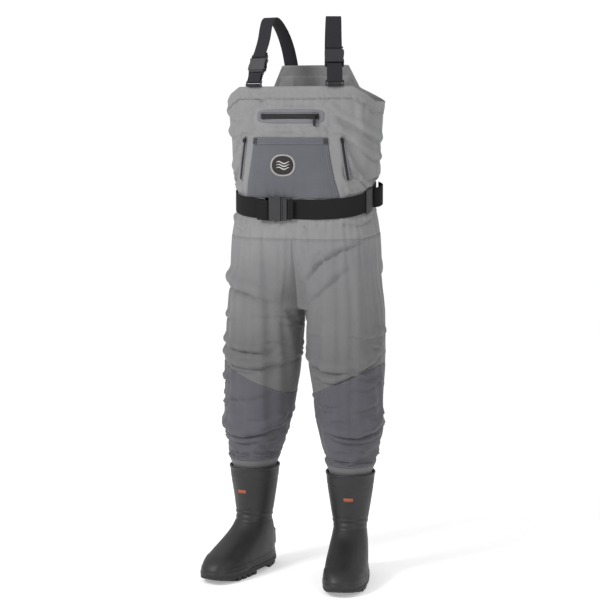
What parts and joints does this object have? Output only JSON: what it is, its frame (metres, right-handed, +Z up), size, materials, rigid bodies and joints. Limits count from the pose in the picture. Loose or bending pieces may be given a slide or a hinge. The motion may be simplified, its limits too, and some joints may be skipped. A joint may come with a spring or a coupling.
{
  "type": "chest waders",
  "caption": "Bootfoot chest waders with a bib, belted waist, zipped chest pocket, hand-warmer pocket, padded knees and lugged rubber boots, held up by buckled shoulder straps.",
  "frame": {"origin": "centre of the bounding box, on the plane the outsole lugs stand on", "axes": "+Z up, the front of the bib and the toes face -Y, the wearer's left is +X"},
  "size_m": [0.436, 0.3562, 1.4176],
  "materials": {
    "shell_fabric": "matte coated nylon",
    "panel_fabric": "matte coated nylon, heavier weight",
    "seam_tape": "welded tape, slight sheen",
    "zip_tape": "coated zip tape",
    "webbing": "woven webbing",
    "moulded_plastic": "fine moulded texture",
    "boot_rubber": "matte moulded rubber",
    "outsole_rubber": "matte moulded rubber",
    "neoprene": "knit-faced foam",
    "badge_cloth": "embroidered",
    "zip_metal": "dark coated"
  },
  "bodies": {
    "garment": {"bib_front": "shell_fabric", "front_hem": "shell_fabric", "bib_back": "shell_fabric", "back_hem": "shell_fabric", "right_leg": "shell_fabric", "right_knee_panel": "panel_fabric", "right_cuff": "shell_fabric", "left_leg": "shell_fabric", "left_knee_panel": "panel_fabric", "left_cuff": "shell_fabric", "right_boot": "boot_rubber", "right_boot_liner": "neoprene", "right_toe_cap": "boot_rubber", "right_heel_kick": "boot_rubber", "right_outsole": "outsole_rubber", "right_insole": "neoprene", "left_boot": "boot_rubber", "left_boot_liner": "neoprene", "left_toe_cap": "boot_rubber", "left_heel_kick": "boot_rubber", "left_outsole": "outsole_rubber", "left_insole": "neoprene", "right_strap_buckle_male": "moulded_plastic", "right_anchor_web": "webbing", "right_anchor_loop": "moulded_plastic", "right_anchor_tab": "webbing", "right_strap_end": "webbing", "left_strap_buckle_female": "moulded_plastic", "left_anchor_web": "webbing", "left_anchor_loop": "moulded_plastic", "left_anchor_tab": "webbing", "left_strap_end": "webbing", "belt": "webbing", "belt_buckle_female": "moulded_plastic", "belt_adjuster": "moulded_plastic", "belt_tail_loop": "webbing", "right_belt_keeper": "shell_fabric", "left_belt_keeper": "shell_fabric", "kangaroo_pocket": "panel_fabric", "pocket_badge": "badge_cloth", "chest_zip_frame": "seam_tape", "chest_zip": "zip_tape", "right_hand_zip": "zip_tape", "right_hand_zip_slider": "zip_metal", "left_hand_zip": "zip_tape", "left_hand_zip_slider": "zip_metal"},
    "right_strap": {"right_strap": "webbing", "right_strap_buckle_female": "moulded_plastic"},
    "left_strap": {"left_strap": "webbing", "left_strap_buckle_male": "moulded_plastic"},
    "belt_buckle": {"belt_buckle_male": "moulded_plastic", "belt_fold": "webbing"},
    "chest_slider": {"chest_zip_slider": "zip_metal"},
    "chest_pull": {"chest_zip_pull": "zip_metal"}
  },
  "joints": [
    {"name": "right_strap_swing", "type": "hinge", "parent": "garment", "child": "right_strap", "pos_m": [-0.064, 0.1531, 1.238], "axis": [-1, 0, 0], "range_deg": [0, 120]},
    {"name": "left_strap_swing", "type": "hinge", "parent": "garment", "child": "left_strap", "pos_m": [0.038, 0.1531, 1.238], "axis": [-1, 0, 0], "range_deg": [0, 120]},
    {"name": "belt_buckle_release", "type": "slide", "parent": "garment", "child": "belt_buckle", "axis": [1, 0, 0], "range_m": [0, 0.036]},
    {"name": "chest_zip_slide", "type": "slide", "parent": "garment", "child": "chest_slider", "axis": [-1, 0, 0], "range_m": [0, 0.13]},
    {"name": "chest_pull_swing", "type": "hinge", "parent": "chest_slider", "child": "chest_pull", "pos_m": [0.062, -0.0459, 1.169], "axis": [-1, 0, 0], "range_deg": [-8, 120]}
  ]
}
